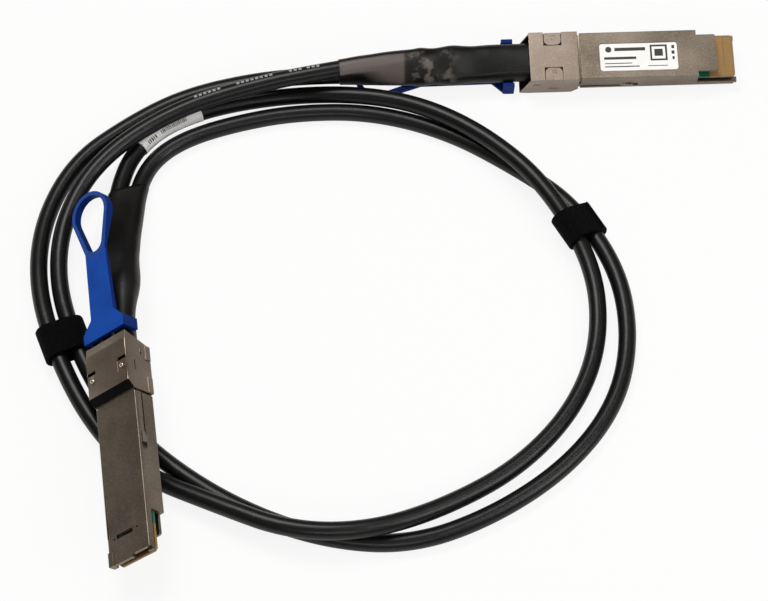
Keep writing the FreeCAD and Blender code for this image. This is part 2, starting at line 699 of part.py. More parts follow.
paths = [cable_path("cable_1", CABLE_1, dim("cable_side")), cable_path("cable_2", CABLE_2, -dim("cable_side"))]
jacket = dim("jacket_radius")
kept += [solid_feature(f"cable_{i}", tube(path, jacket)) for i, path in enumerate(paths, start=1)]
kept.append(shrink_sleeve("plug_a_heat_shrink_sleeve", paths, 10.0, 86.0))
kept.append(shrink_sleeve("plug_b_heat_shrink_sleeve", paths, -10.0, -81.0))
flag_path = stretch(paths[0], 106, 133)
flag = tube(flag_path, jacket + 0.22).cut(tube(flag_path, jacket + 0.02))
kept.append(solid_feature("cable_flag_label", flag))
kept.append(hook_wrap("hook_wrap_left", paths, (-112, -15, 6)))
kept.append(hook_wrap("hook_wrap_right", paths, (69, 30, 8)))

doc.recompute()
for item in doc.Objects:
    if "Invalid" in item.State or "Error" in item.State:
        raise RuntimeError(f"{item.Label} did not compute: {item.State}")
for piece in kept:
    if piece.Shape.isNull() or not piece.Shape.isValid():
        raise RuntimeError(f"{piece.Label} has no valid shape")
for piece in kept:
    piece.Shape.exportStep(f"parts/{piece.Label}.step")
print(len(kept), "pieces")
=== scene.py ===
"""Direct attach copper cable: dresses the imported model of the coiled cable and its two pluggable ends."""
import math

import bmesh
import bpy
from mathutils import Matrix, Vector, noise


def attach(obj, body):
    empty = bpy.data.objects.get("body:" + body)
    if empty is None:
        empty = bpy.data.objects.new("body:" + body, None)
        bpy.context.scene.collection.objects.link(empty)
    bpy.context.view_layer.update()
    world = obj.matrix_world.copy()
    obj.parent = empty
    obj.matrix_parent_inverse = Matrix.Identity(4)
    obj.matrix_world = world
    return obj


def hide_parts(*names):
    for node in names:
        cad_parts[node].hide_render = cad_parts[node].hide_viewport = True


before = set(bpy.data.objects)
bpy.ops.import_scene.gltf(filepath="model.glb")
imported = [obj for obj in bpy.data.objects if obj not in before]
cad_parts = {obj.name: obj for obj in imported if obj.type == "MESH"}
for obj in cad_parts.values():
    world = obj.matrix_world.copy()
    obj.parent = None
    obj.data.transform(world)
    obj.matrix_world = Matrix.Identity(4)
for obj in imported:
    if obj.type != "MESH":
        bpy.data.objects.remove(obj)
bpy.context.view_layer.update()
ASSEMBLY = "cable_assembly"
MM = 0.001


# ---------------------------------------------------------------- table, lamps and camera
# A plain white table top under three soft boxes and an overhead strip, in a room whose walls are darker
# than its ceiling. The camera looks down at sixty degrees.
def srgb(code):
    """A hex colour turned to linear."""
    parts = [int(code[i:i + 2], 16) / 255 for i in (1, 3, 5)]
    return [c / 12.92 if c <= 0.04045 else ((c + 0.055) / 1.055) ** 2.4 for c in parts] + [1.0]


def add(tree, kind, sockets=None, stops=(), **settings):
    """Adds a node. Its sockets take links or values, a ramp takes stops, and the rest are its settings."""
    node = tree.nodes.new(kind)
    for name, value in settings.items():
        if hasattr(node, name):
            setattr(node, name, value)
        else:
            node.inputs[name.replace("_", " ")].default_value = value
    for name, source in (sockets or {}).items():
        if isinstance(source, bpy.types.NodeSocket):
            tree.links.new(source, node.inputs[name])
        else:
            node.inputs[name].default_value = source
    if stops:
        points = node.color_ramp.elements
        points[0].position = stops[0][0]
        points[1].position = stops[-1][0]
        for place, tone in stops[1:-1]:
            points.new(place)
        for point, (place, tone) in zip(points, stops):
            point.color = srgb(tone) if isinstance(tone, str) else (tone, tone, tone, 1)
    return node


white = srgb("#ffffff")
world = bpy.data.worlds.new("studio_room")
bpy.context.scene.world = world
world.use_nodes = True
room = world.node_tree
room.nodes.clear()
direction = add(room, "ShaderNodeTexCoord")
height = add(room, "ShaderNodeSeparateXYZ", {"Vector": direction.outputs["Generated"]})
walls = add(room, "ShaderNodeValToRGB", {"Fac": height.outputs["Z"]},
            stops=((0.14, "#6a635a"), (0.75, "#a39d94")))
room_light = add(room, "ShaderNodeBackground", {"Color": walls.outputs["Color"]}, Strength=0.75)
backdrop = add(room, "ShaderNodeBackground", Color=white, Strength=1.0)
ray = add(room, "ShaderNodeLightPath")
seen = add(room, "ShaderNodeMixShader", {"Fac": ray.outputs["Is Camera Ray"], 1: room_light.outputs[0],
                                         2: backdrop.outputs[0]})
add(room, "ShaderNodeOutputWorld", {"Surface": seen.outputs[0]})

# The table glows white for the camera and faintly in what the metal mirrors, and still takes a shadow.
TABLE_HALF = 6
SEEN_GLOW = 0.87
MIRRORED_GLOW = 0.28
table_mesh = bmesh.new()
bmesh.ops.create_grid(table_mesh, x_segments=1, y_segments=1, size=TABLE_HALF)
table_data = bpy.data.meshes.new("table_top")
table_mesh.to_mesh(table_data)
table_mesh.free()
table = bpy.data.objects.new("table_top", table_data)
bpy.context.scene.collection.objects.link(table)
table_paint = bpy.data.materials.new("white_paper_sweep")
table_paint.use_nodes = True
tree = table_paint.node_tree
tree.nodes.clear()
paper = add(tree, "ShaderNodeBsdfDiffuse", Color=srgb("#f2f2f2"))
glow = add(tree, "ShaderNodeEmission", Color=white, Strength=1.0)
ray = add(tree, "ShaderNodeLightPath")
mirrored = add(tree, "ShaderNodeMath", {0: ray.outputs["Is Glossy Ray"], 1: MIRRORED_GLOW},
               operation="MULTIPLY")
share = add(tree, "ShaderNodeMath", {0: ray.outputs["Is Camera Ray"], 1: SEEN_GLOW, 2: mirrored.outputs[0]},
            operation="MULTIPLY_ADD")
mixed = add(tree, "ShaderNodeMixShader", {"Fac": share.outputs[0], 1: paper.outputs[0], 2: glow.outputs[0]})
add(tree, "ShaderNodeOutputMaterial", {"Surface": mixed.outputs[0]})
table_data.materials.append(table_paint)

# Each lamp has its place and its size in metres, and its power in watts. All of them face the origin.
LAMPS = {
    "soft_box_left": ((-0.24, 0.33, 0.97), (0.55, 0.30), 5.4),
    "soft_box_right": ((0.80, -0.40, 0.70), (0.30, 0.50), 3.5),
    "strip_overhead": ((0.45, -0.08, 1.0), (0.9, 0.06), 1.8),
    "soft_box_front": ((0.05, -0.90, 0.70), (0.60, 0.20), 1.8),
}
for name, (place, size, power) in LAMPS.items():
    lamp = bpy.data.lights.new(name, "AREA")
    lamp.shape = "RECTANGLE"
    lamp.size, lamp.size_y = size
    lamp.energy = power
    lamp_object = bpy.data.objects.new(name, lamp)
    lamp_object.location = place
    lamp_object.rotation_euler = (-Vector(place)).to_track_quat("-Z", "Y").to_euler()
    bpy.context.scene.collection.objects.link(lamp_object)

# The camera, the plugs and the cables were all laid out from the point that the camera looks at, seven
# millimetres up. ORIGIN is that point's foot in the frame.
ORIGIN = Vector((-10.45, -4.52, 0)) * MM
CAMERA_PLACE = (0, -408.0, 713.65)
CAMERA_TILT = math.radians(30)
camera = bpy.data.cameras.new("camera")
camera.angle = math.radians(18.56)
camera_object = bpy.data.objects.new("camera", camera)
camera_object.location = Vector(CAMERA_PLACE) * MM + ORIGIN
camera_object.rotation_euler = (CAMERA_TILT, 0, 0)
bpy.context.scene.collection.objects.link(camera_object)
bpy.context.scene.camera = camera_object
bpy.context.scene.view_settings.view_transform = "Standard"


# ---------------------------------------------------------------- cables
# Two round twin-axial cables, 6.2 mm thick, in an extruded black PVC jacket with a satin skin.
# Each runs from one plug's clamp to the other's and lies in one loose turn on the table.

# Each plug has the middle of its nose's lower edge, the direction from there to its cables, and its
# upward direction.
PLUGS = {
    "plug_a": ((-76.1, -102.5, 13.1), (-0.136, 0.991, 0), (-0.642, -0.088, 0.761)),
    "plug_b": ((130.0, 102.0, 13.106), (-0.9994, -0.0349, 0), (-0.0068, 0.1941, -0.981)),
}
JACKET = 3.1 * MM
PLACES = {}
for plug, (nose, along, up) in PLUGS.items():
    along = Vector(along).normalized()
    across = Vector(up).cross(along).normalized()
    turn = Matrix((along, across, along.cross(across))).transposed().to_4x4()
    PLACES[plug] = Matrix.Translation(Vector(nose) * MM + ORIGIN) @ turn

# Each cable has its side of the clamp and the points that its curve follows, in millimetres.
ROUTES = {
    "cable_1": (3.3, [
        (-94.7, -4, 12.4), (-95.4, 14, 8.8), (-95.8, 32, 5.2), (-95.2, 48, 4), (-91, 63.5, 3.4),
        (-80, 75.8, 3.4), (-62, 84, 3.3), (-36, 89.1, 3.3), (-9, 86.7, 7.7), (14, 81.4, 8.3),
        (36, 67.8, 10), (57, 46.5, 10.6), (73.5, 16, 5.8), (75, -13, 3.2), (65.5, -39.5, 3.2),
        (46, -62, 3.2), (20.5, -78, 5.2), (-5, -89, 10.3), (-31, -89, 10.6), (-56, -78, 8.2),
        (-81.5, -65, 3.2), (-99, -46, 3.2), (-112, -22, 5.4), (-121.5, 7, 5.2), (-121.5, 35, 3.2),
        (-111.5, 60, 3.2), (-93, 76, 3.4), (-73, 87.3, 5.2), (-46, 92.6, 8.2), (-22, 94, 9.2), (1, 93.9, 9),
        (23, 94.6, 8.3)]),
    "cable_2": (-3.3, [
        (-89.1, -3.5, 16.6), (-88.9, 14, 12.6), (-88.8, 31, 7.4), (-88.2, 48, 4), (-83.5, 60.5, 3.2),
        (-73, 69.5, 3.2), (-56, 76.2, 3.2), (-33, 81.5, 3.2), (-5, 81.9, 3.2), (23, 73.5, 3.2),
        (48, 57.5, 3.2), (67, 40.5, 5.5), (82, 14, 5.6), (85.3, -12.5, 3.2), (79.3, -38.5, 3.2),
        (62.5, -61.5, 3.2), (37, -80, 3.2), (9, -91, 3.2), (-20, -88.8, 3.2), (-48, -78, 3.2),
        (-73, -61.5, 3.2), (-92, -42.5, 3.2), (-105.3, -19, 5.2), (-114.8, 9, 5.2), (-113.5, 35, 6.8),
        (-101.5, 58, 9.8), (-76, 77.3, 11.2), (-47, 87, 13.2), (-22, 91.2, 15.6), (1, 95.8, 15.4),
        (23, 100.6, 11.9)]),
}
CLAMP_START, CLAMP_EXIT, CLAMP_LEVEL = 66, 82, 4.5


def material(name, **values):
    """A new node material, with its tree and its Principled shader, whose own sockets take the values."""
    made = bpy.data.materials.new(name)
    made.use_nodes = True
    skin = made.node_tree.nodes["Principled BSDF"]
    for socket, value in values.items():
        skin.inputs[socket.replace("_", " ")].default_value = value
    return made, made.node_tree, skin


# Extruded PVC: near black, satin, with a faint mottle and very shallow waves left by the twisted pairs
# inside. A noise's scale is its patches in a metre: 11 mm for the mottle, 4 mm for the waves and 0.4 mm for
# the grain.
jacket_pvc, tree, skin = material("extruded_black_pvc_jacket", Specular_IOR_Level=0.3)
place = add(tree, "ShaderNodeTexCoord")
mottle = add(tree, "ShaderNodeTexNoise", {"Vector": place.outputs["Object"]}, Scale=90.0, Detail=4.0)
tone = add(tree, "ShaderNodeValToRGB", {"Fac": mottle.outputs["Fac"]},
           stops=((0, "#070708"), (1, "#101011")))
waves = add(tree, "ShaderNodeTexNoise", {"Vector": place.outputs["Object"]}, Scale=260.0, Detail=2.0)
grain = add(tree, "ShaderNodeTexNoise", {"Vector": place.outputs["Object"]}, Scale=2600.0, Detail=2.0)
low = add(tree, "ShaderNodeBump", {"Height": waves.outputs["Fac"]}, Strength=0.35, Distance=0.0002)
fine = add(tree, "ShaderNodeBump", {"Height": grain.outputs["Fac"], "Normal": low.outputs["Normal"]},
           Strength=0.1, Distance=0.00003)
gloss = add(tree, "ShaderNodeMapRange", {"Value": mottle.outputs["Fac"]}, To_Min=0.29, To_Max=0.38)
tree.links.new(tone.outputs["Color"], skin.inputs["Base Color"])
tree.links.new(gloss.outputs["Result"], skin.inputs["Roughness"])
tree.links.new(fine.outputs["Normal"], skin.inputs["Normal"])

cables = {}
for name, (side, points) in ROUTES.items():
    ends = [Vector((x, side, CLAMP_LEVEL)) * MM for x in (CLAMP_START, CLAMP_EXIT)]
    line = [PLACES["plug_a"] @ p for p in ends]
    line += [Vector(p) * MM + ORIGIN for p in points]
    line += [PLACES["plug_b"] @ Vector((p.x, -p.y, p.z)) for p in reversed(ends)]
    curve = bpy.data.curves.new(name + "_jacket", "CURVE")
    curve.dimensions = "3D"
    spline = curve.splines.new("NURBS")
    spline.points.add(len(line) - 1)
    for control, point in zip(spline.points, line):
        control.co = (*point, 1)
    spline.order_u = 3
    spline.use_endpoint_u = True
    spline.resolution_u = 12
    curve.bevel_depth = JACKET
    curve.bevel_resolution = 8
    curve.use_fill_caps = True
    curve.materials.append(jacket_pvc)
    cable = bpy.data.objects.new(name + "_jacket", curve)
    bpy.context.scene.collection.objects.link(cable)
    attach(cable, ASSEMBLY)
    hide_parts(name)
    cables[name] = (cable, line[0])


# ---------------------------------------------------------------- heat-shrink sleeves
# A thick polyolefin sleeve shrunk over both cables behind each plug. It follows their twist, thins towards
# its far end, and shows the lumps of the splice under it. Plug A's is cut on a slant.
def centreline(cable):
    """Points along a cable's own spline, and the distance of each from the first plug."""
    bare = cable.copy()
    thin = cable.data.copy()
    bare.data = thin
    thin.bevel_depth = 0
    mesh = bpy.data.meshes.new_from_object(bare)
    points = [v.co.copy() for v in mesh.vertices]
    bpy.data.objects.remove(bare)
    bpy.data.curves.remove(thin)
    bpy.data.meshes.remove(mesh)
    distances = [0.0]
    for a, b in zip(points, points[1:]):
        distances.append(distances[-1] + (b - a).length)
    return points, distances


def at(line, along):
    """The place and the direction at a distance along a centreline, or before its end if negative."""
    points, distances = line
    if along < 0:
        along += distances[-1]
    for i in range(1, len(points)):
        if distances[i] >= along or i == len(points) - 1:
            share = (along - distances[i - 1]) / (distances[i] - distances[i - 1])
            return points[i - 1].lerp(points[i], share), (points[i] - points[i - 1]).normalized()


def finished(bm, name, paint, body=ASSEMBLY, stands_for=()):
    """A new piece from a bmesh, with its material, its body and the nodes that it replaces."""
    mesh = bpy.data.meshes.new(name)
    bm.to_mesh(mesh)
    bm.free()
    mesh.materials.append(paint)
    piece = bpy.data.objects.new(name, mesh)
    bpy.context.scene.collection.objects.link(piece)
    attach(piece, body)
    if stands_for:
        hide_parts(*stands_for)
    return piece


# Within FLANK of its radius a ring crosses from one cable to the other, and outside it is round.
RING_SEGMENTS = 40
FLANK = 0.25


def between(first, second):
    """The matrix midway between two places on the cables, z along and x across, and half their distance."""
    (a, run_a), (b, run_b) = first, second
    axis = (run_a + run_b).normalized()
    apart = b - a
    apart -= axis * apart.dot(axis)
    across = apart.normalized()
    turn = Matrix((across, axis.cross(across), axis)).transposed().to_4x4()
    return Matrix.Translation((a + b) / 2) @ turn, apart.length / 2


def pair_ring(bm, along, radius, slant=0.0, crown=0.0):
    """A closed ring drawn round both cables at a distance along them, square to them or slanted,
    with flat or crowned faces."""
    place, half = between(*(at(line, along) for line in lines))
    ring = bmesh.ops.create_circle(bm, segments=RING_SEGMENTS, radius=radius)["verts"]
    for v in ring:
        v.co.x += half * max(-1, min(1, v.co.x / (FLANK * radius)))
        v.co.y *= 1 + crown * (1 - (v.co.x / (half + radius)) ** 2)
        v.co.z = slant * v.co.x
    bmesh.ops.transform(bm, matrix=place, verts=ring)
    return ring


def join(bm, rings):
    """Bridges each ring to the next and turns the faces outwards."""
    for a, b in zip(rings, rings[1:]):
        edges = [e for ring in (a, b) for v in ring for e in v.link_edges if e.other_vert(v) in ring]
        bmesh.ops.bridge_loops(bm, edges=list(dict.fromkeys(edges)))
    bmesh.ops.recalc_face_normals(bm, faces=bm.faces)


lines = [centreline(cable) for cable, leaves in cables.values()]

# Shrunk polyolefin: brownish black with a satin skin, in patches of 17 mm over ripples of 2.4 mm.
shrink, tree, skin = material("shrunk_polyolefin_sleeve", Specular_IOR_Level=0.28)
place = add(tree, "ShaderNodeTexCoord")
mottle = add(tree, "ShaderNodeTexNoise", {"Vector": place.outputs["Object"]}, Scale=60.0, Detail=5.0)
tone = add(tree, "ShaderNodeValToRGB", {"Fac": mottle.outputs["Fac"]},
           stops=((0.35, "#060606"), (0.7, "#121110")))
waves = add(tree, "ShaderNodeTexNoise", {"Vector": place.outputs["Object"]}, Scale=420.0, Detail=3.0)
low = add(tree, "ShaderNodeBump", {"Height": waves.outputs["Fac"]}, Strength=0.5, Distance=0.0002)
gloss = add(tree, "ShaderNodeMapRange", {"Value": mottle.outputs["Fac"]}, To_Min=0.3, To_Max=0.5)

# The second sleeve has a flat grey-brown rub along its far end, and painted highlights in 4 mm blotches
# over its lumps. Both lie within 30 mm of the frame's middle and show only on what faces up and forward, so
# the rub is partly painted sheen. The ramps run over those 60 mm.
surface = add(tree, "ShaderNodeNewGeometry")
upward = add(tree, "ShaderNodeVectorMath", {0: surface.outputs["Normal"], 1: (0, -0.6, 0.8)},
             operation="DOT_PRODUCT")
sheen_side = add(tree, "ShaderNodeMapRange", {"Value": upward.outputs["Value"]}, From_Min=0.62, From_Max=0.78)
where = add(tree, "ShaderNodeSeparateXYZ", {"Vector": place.outputs["Object"]})
run = add(tree, "ShaderNodeMapRange", {"Value": where.outputs["X"]}, From_Min=-0.03, From_Max=0.03)
band = add(tree, "ShaderNodeValToRGB", {"Fac": run.outputs["Result"]},
           stops=((0.02, 0), (0.05, 1), (0.44, 1), (0.46, 0.15), (0.55, 0)))
highlight_noise = add(tree, "ShaderNodeTexNoise", {"Vector": place.outputs["Object"]}, Scale=230.0, Detail=4.0)
highlight_blots = add(tree, "ShaderNodeMapRange", {"Value": highlight_noise.outputs["Fac"]}, From_Min=0.5, From_Max=0.62)
near = add(tree, "ShaderNodeValToRGB", {"Fac": run.outputs["Result"]},
           stops=((0.44, 0), (0.5, 1), (0.72, 0.7), (0.8, 0)))
lump_highlights = add(tree, "ShaderNodeMath", {0: highlight_blots.outputs["Result"], 1: near.outputs["Color"]},
            operation="MULTIPLY")
wear_and_highlights = add(tree, "ShaderNodeMath", {0: lump_highlights.outputs[0], 1: band.outputs["Color"]}, operation="MAXIMUM")
rub_and_sheen = add(tree, "ShaderNodeMath", {0: wear_and_highlights.outputs[0], 1: sheen_side.outputs["Result"]}, operation="MULTIPLY")
# The rub and the painted highlights both lighten the sleeve to the same grey-brown.
colour = add(tree, "ShaderNodeMix", {0: rub_and_sheen.outputs[0], 6: tone.outputs["Color"], 7: srgb("#655d59")},
             data_type="RGBA")
tree.links.new(colour.outputs[2], skin.inputs["Base Color"])
tree.links.new(gloss.outputs["Result"], skin.inputs["Roughness"])
tree.links.new(low.outputs["Normal"], skin.inputs["Normal"])

# Each sleeve has the distances of its ends along the cables, its slant, and its lumps: their middles, rises
# and widths in millimetres. A negative distance is measured back from the second plug.
SLEEVES = {
    "plug_a_heat_shrink_sleeve": (10, 85, 0.4, ((39.5, 1.3, 8), (24, -0.2, 6), (62, -0.15, 8))),
    "plug_b_heat_shrink_sleeve": (-10, -81, 0.0,
                                  ((-51, 0.3, 2), (-46, -0.3, 3), (-39, 0.3, 3), (-31, -0.25, 4))),
}
# Walls, rim and lip are in millimetres: the rim rounds off the cut end, and the lip turns in under it.
SLEEVE_STEPS = 56
PLUG_WALL, END_WALL = 0.8, 0.4
CROWN = 0.14
RIM_REACH = 0.2
LIP_DEPTH, LIP_GAP = 0.4, 0.02
RIPPLE, RIPPLES_A_METRE = 0.12, 160
for name, (begin, end, slant, lumps) in SLEEVES.items():
    bm = bmesh.new()
    rings = []
    for i in range(SLEEVE_STEPS + 1):
        share = i / SLEEVE_STEPS
        along = begin + (end - begin) * share
        swell = sum(rise * math.exp(-((along - middle) / width) ** 2) for middle, rise, width in lumps)
        thick = PLUG_WALL + (END_WALL - PLUG_WALL) * share + swell
        rings.append(pair_ring(bm, along * MM, JACKET + thick * MM, slant * share ** 6,
                               CROWN * (1 - share)))
    rim = end + math.copysign(RIM_REACH, end - begin)
    lip = end + math.copysign(LIP_DEPTH, begin - end)
    rings.append(pair_ring(bm, rim * MM, JACKET + 0.5 * END_WALL * MM, slant))
    rings.append(pair_ring(bm, lip * MM, JACKET + LIP_GAP * MM, slant))
    join(bm, rings)
    bm.normal_update()
    for v in bm.verts:
        v.co += v.normal * noise.noise(v.co * RIPPLES_A_METRE) * RIPPLE * MM
    sleeve = finished(bm, name + "_skin", shrink, stands_for=[name])
    sleeve.data.shade_smooth()


# ---------------------------------------------------------------- hook-and-loop wraps
# A 12 mm strap of woven black nylon wound twice round both cables, its loose end pressed down on top.
# The loops make a fuzzy face with tufts of 1 mm and loops of 0.4 mm, over the 1 mm ribs of the weave.
loop_cloth, tree, skin = material("woven_nylon_hook_and_loop", Roughness=0.85, Specular_IOR_Level=0.1)
place = add(tree, "ShaderNodeTexCoord")
loops = add(tree, "ShaderNodeTexVoronoi", {"Vector": place.outputs["Object"]}, Scale=2400.0)
tufts = add(tree, "ShaderNodeTexNoise", {"Vector": place.outputs["Object"]}, Scale=900.0, Detail=6.0)
tone = add(tree, "ShaderNodeValToRGB", {"Fac": tufts.outputs["Fac"]},
           stops=((0.35, "#010101"), (0.75, "#070708")))
ribs = add(tree, "ShaderNodeUVMap", uv_map="winding")
weave = add(tree, "ShaderNodeTexWave", {"Vector": ribs.outputs["UV"]}, Scale=0.32, Distortion=1.2,
            Detail=2.0, Detail_Scale=3.0)
low = add(tree, "ShaderNodeBump", {"Height": weave.outputs["Fac"]}, Strength=0.6, Distance=0.00025)
fine = add(tree, "ShaderNodeBump", {"Height": loops.outputs["Distance"], "Normal": low.outputs["Normal"]},
           Strength=0.8, Distance=0.0002)
tree.links.new(tone.outputs["Color"], skin.inputs["Base Color"])
tree.links.new(fine.outputs["Normal"], skin.inputs["Normal"])

# The strap is laid out as a spiral round both cables, closest to the place given for each wrap.
WRAPS = {"hook_wrap_left": (-112, -15, 6), "hook_wrap_right": (69, 30, 8)}
WRAP_WIDE = 12.0 * MM
WRAP_ROWS = 8
WRAP_STEPS, WRAP_TURNS, WRAP_BEGIN = 64, 2.1, 0.6
CLOTH = 0.5 * MM
FIRST_LAYER, LAYER_GAP = 0.72 * MM, 0.05 * MM
HEM = 0.12 * MM
# The strap's slack varies as it winds, and its edges wobble by its length and its width.
SLACK, SLACKS_A_RADIAN = 0.12 * MM, 1.3
EDGE_WOBBLE, WOBBLES_A_METRE, WOBBLES_ACROSS = 0.25 * MM, 300, 200
for name, middle in WRAPS.items():
    middle = Vector(middle) * MM + ORIGIN
    nearest = []
    for points, distances in lines:
        closest = min(range(1, len(points)), key=lambda k: (points[k] - middle).length)
        nearest.append((points[closest], (points[closest] - points[closest - 1]).normalized()))
    place, half = between(*nearest)
    strip = []
    around = 0.0
    for i in range(int(WRAP_STEPS * WRAP_TURNS) + 1):
        angle = 2 * math.pi * i / WRAP_STEPS + WRAP_BEGIN
        radius = JACKET + FIRST_LAYER + i / WRAP_STEPS * (CLOTH + LAYER_GAP)
        point = Vector((math.cos(angle) * radius, math.sin(angle) * radius, 0))
        point.x += half * max(-1, min(1, math.cos(angle) / FLANK))
        point.y += SLACK * noise.noise(Vector((angle * SLACKS_A_RADIAN, 3.1, nearest[0][0].x * 90)))
        around += (point - strip[-1][0]).length if strip else 0
        strip.append((point, around))
    bm = bmesh.new()
    winding = bm.loops.layers.uv.new("winding")
    columns = len(strip) - 1
    bmesh.ops.create_grid(bm, x_segments=columns, y_segments=WRAP_ROWS, size=1)
    unwound = {}
    for v in bm.verts:
        point, around = strip[round((v.co.x + 1) / 2 * columns)]
        z = WRAP_WIDE * v.co.y / 2
        unwound[v] = (around / MM, (z + WRAP_WIDE / 2) / MM)
        wobble = noise.noise(Vector((around * WOBBLES_A_METRE, z * WOBBLES_ACROSS, 7.0))) * EDGE_WOBBLE
        v.co = point + Vector((0, 0, z + wobble))
    for face in bm.faces:
        for loop in face.loops:
            loop[winding].uv = unwound[loop.vert]
    bmesh.ops.transform(bm, matrix=place, verts=bm.verts)
    wrap = finished(bm, name + "_strap", loop_cloth, stands_for=[name])
    wrap.data.shade_smooth()
    cloth = wrap.modifiers.new("cloth_thickness", "SOLIDIFY")
    cloth.thickness = CLOTH
    cloth.offset = 0
    hem = wrap.modifiers.new("hem", "BEVEL")
    hem.width = HEM
    hem.segments = 2


# ---------------------------------------------------------------- flag label on the cable
# A white polyester tag wrapped once round one cable near the first plug, with plain black bars in place of
# print. Handling leaves a faint dirt in patches of 7 mm, and the print is uneven over 0.8 mm.
tag_film, tree, skin = material("white_polyester_tag", Roughness=0.42)
place = add(tree, "ShaderNodeTexCoord")
dirt = add(tree, "ShaderNodeTexNoise", {"Vector": place.outputs["Object"]}, Scale=150.0, Detail=3.0)
tone = add(tree, "ShaderNodeValToRGB", {"Fac": dirt.outputs["Fac"]}, stops=((0, "#f0f0ee"), (1, "#fcfcfa")))
tree.links.new(tone.outputs["Color"], skin.inputs["Base Color"])

print_ink, tree, skin = material("black_thermal_print", Roughness=0.5)
place = add(tree, "ShaderNodeTexCoord")
fade = add(tree, "ShaderNodeTexNoise", {"Vector": place.outputs["Object"]}, Scale=1200.0, Detail=2.0)
tone = add(tree, "ShaderNodeValToRGB", {"Fac": fade.outputs["Fac"]}, stops=((0, "#151516"), (1, "#3a3a3b")))
tree.links.new(tone.outputs["Color"], skin.inputs["Base Color"])


def bar_on_cable(bm, line, along, turn_angle, length, width, radius):
    """A small printed bar bent to a cable's surface at a distance along it, turned about the cable."""
    point, run = at(line, along)
    side = run.cross(Vector((0, 0, 1))).normalized()
    up = side.cross(run).normalized()
    frame_here = Matrix((run, side, up)).transposed().to_4x4()
    patch = bmesh.ops.create_grid(bm, x_segments=1, y_segments=4, size=0.5)["verts"]
    for v in patch:
        angle = turn_angle + v.co.y * width / radius
        v.co = Vector((v.co.x * length, math.sin(angle) * radius, math.cos(angle) * radius))
    bmesh.ops.transform(bm, matrix=Matrix.Translation(point) @ frame_here, verts=patch)


TAG_START, TAG_END = 106 * MM, 133 * MM
TAG_STEPS = 24
TAG_RADIUS = JACKET + 0.14 * MM
TAG_FILM = 0.12 * MM
bm = bmesh.new()
rings = []
for i in range(TAG_STEPS + 1):
    point, run = at(lines[0], TAG_START + (TAG_END - TAG_START) * i / TAG_STEPS)
    ring = bmesh.ops.create_circle(bm, segments=RING_SEGMENTS, radius=TAG_RADIUS)["verts"]
    turn = run.to_track_quat("Z", "Y").to_matrix().to_4x4()
    bmesh.ops.transform(bm, matrix=Matrix.Translation(point) @ turn, verts=ring)
    rings.append(ring)
join(bm, rings)
tag = finished(bm, "cable_tag", tag_film, stands_for=["cable_flag_label"])
tag.data.shade_smooth()
film = tag.modifiers.new("film_thickness", "SOLIDIFY")
film.thickness = TAG_FILM
film.offset = 0

# Two groups of bars stand in three widths across the tag: where each group begins and ends, and its pitch.
BAR_GROUPS = ((3.0, 8.0, 0.95), (9.6, 21.5, 0.72))
THIN_BAR, BAR_GROWTH = 0.42, 0.11
BAR_TURN, BAR_WIDE = 0.75, 1.5
BAR_RADIUS = JACKET + 0.23 * MM
bm = bmesh.new()
for first, last, pitch in BAR_GROUPS:
    for i in range(int((last - first) / pitch)):
        length = pitch * (THIN_BAR + BAR_GROWTH * (i * 7 % 3))
        bar_on_cable(bm, lines[0], TAG_START + (first + i * pitch) * MM, BAR_TURN, length * MM,
                     BAR_WIDE * MM, BAR_RADIUS)
finished(bm, "cable_tag_bars", print_ink)

# Pale ink dashes on the jacket of the upper cable, in place of its lettering: where each group begins,
# measured back from the second plug, and its number of dashes.
jacket_ink, tree, skin = material("pale_jacket_ink", Roughness=0.6)
place = add(tree, "ShaderNodeTexCoord")
fade = add(tree, "ShaderNodeTexNoise", {"Vector": place.outputs["Object"]}, Scale=1500.0, Detail=2.0)
tone = add(tree, "ShaderNodeValToRGB", {"Fac": fade.outputs["Fac"]}, stops=((0, "#77777a"), (1, "#c4c4c4")))
tree.links.new(tone.outputs["Color"], skin.inputs["Base Color"])
DASH_GROUPS = ((-134.5, 6), (-118.5, 8), (-99, 3), (-92.5, 3))
DASH_PITCH, DASH_LONG, DASH_WIDE, DASH_TURN = 1.75, 1.1, 1.2, -0.35
DASH_RADIUS = JACKET + 0.02 * MM
bm = bmesh.new()
for first, dashes in DASH_GROUPS:
    for i in range(dashes):
        bar_on_cable(bm, lines[1], (first + i * DASH_PITCH) * MM, DASH_TURN, DASH_LONG * MM,
                     DASH_WIDE * MM, DASH_RADIUS)
finished(bm, "jacket_ink_dashes", jacket_ink)
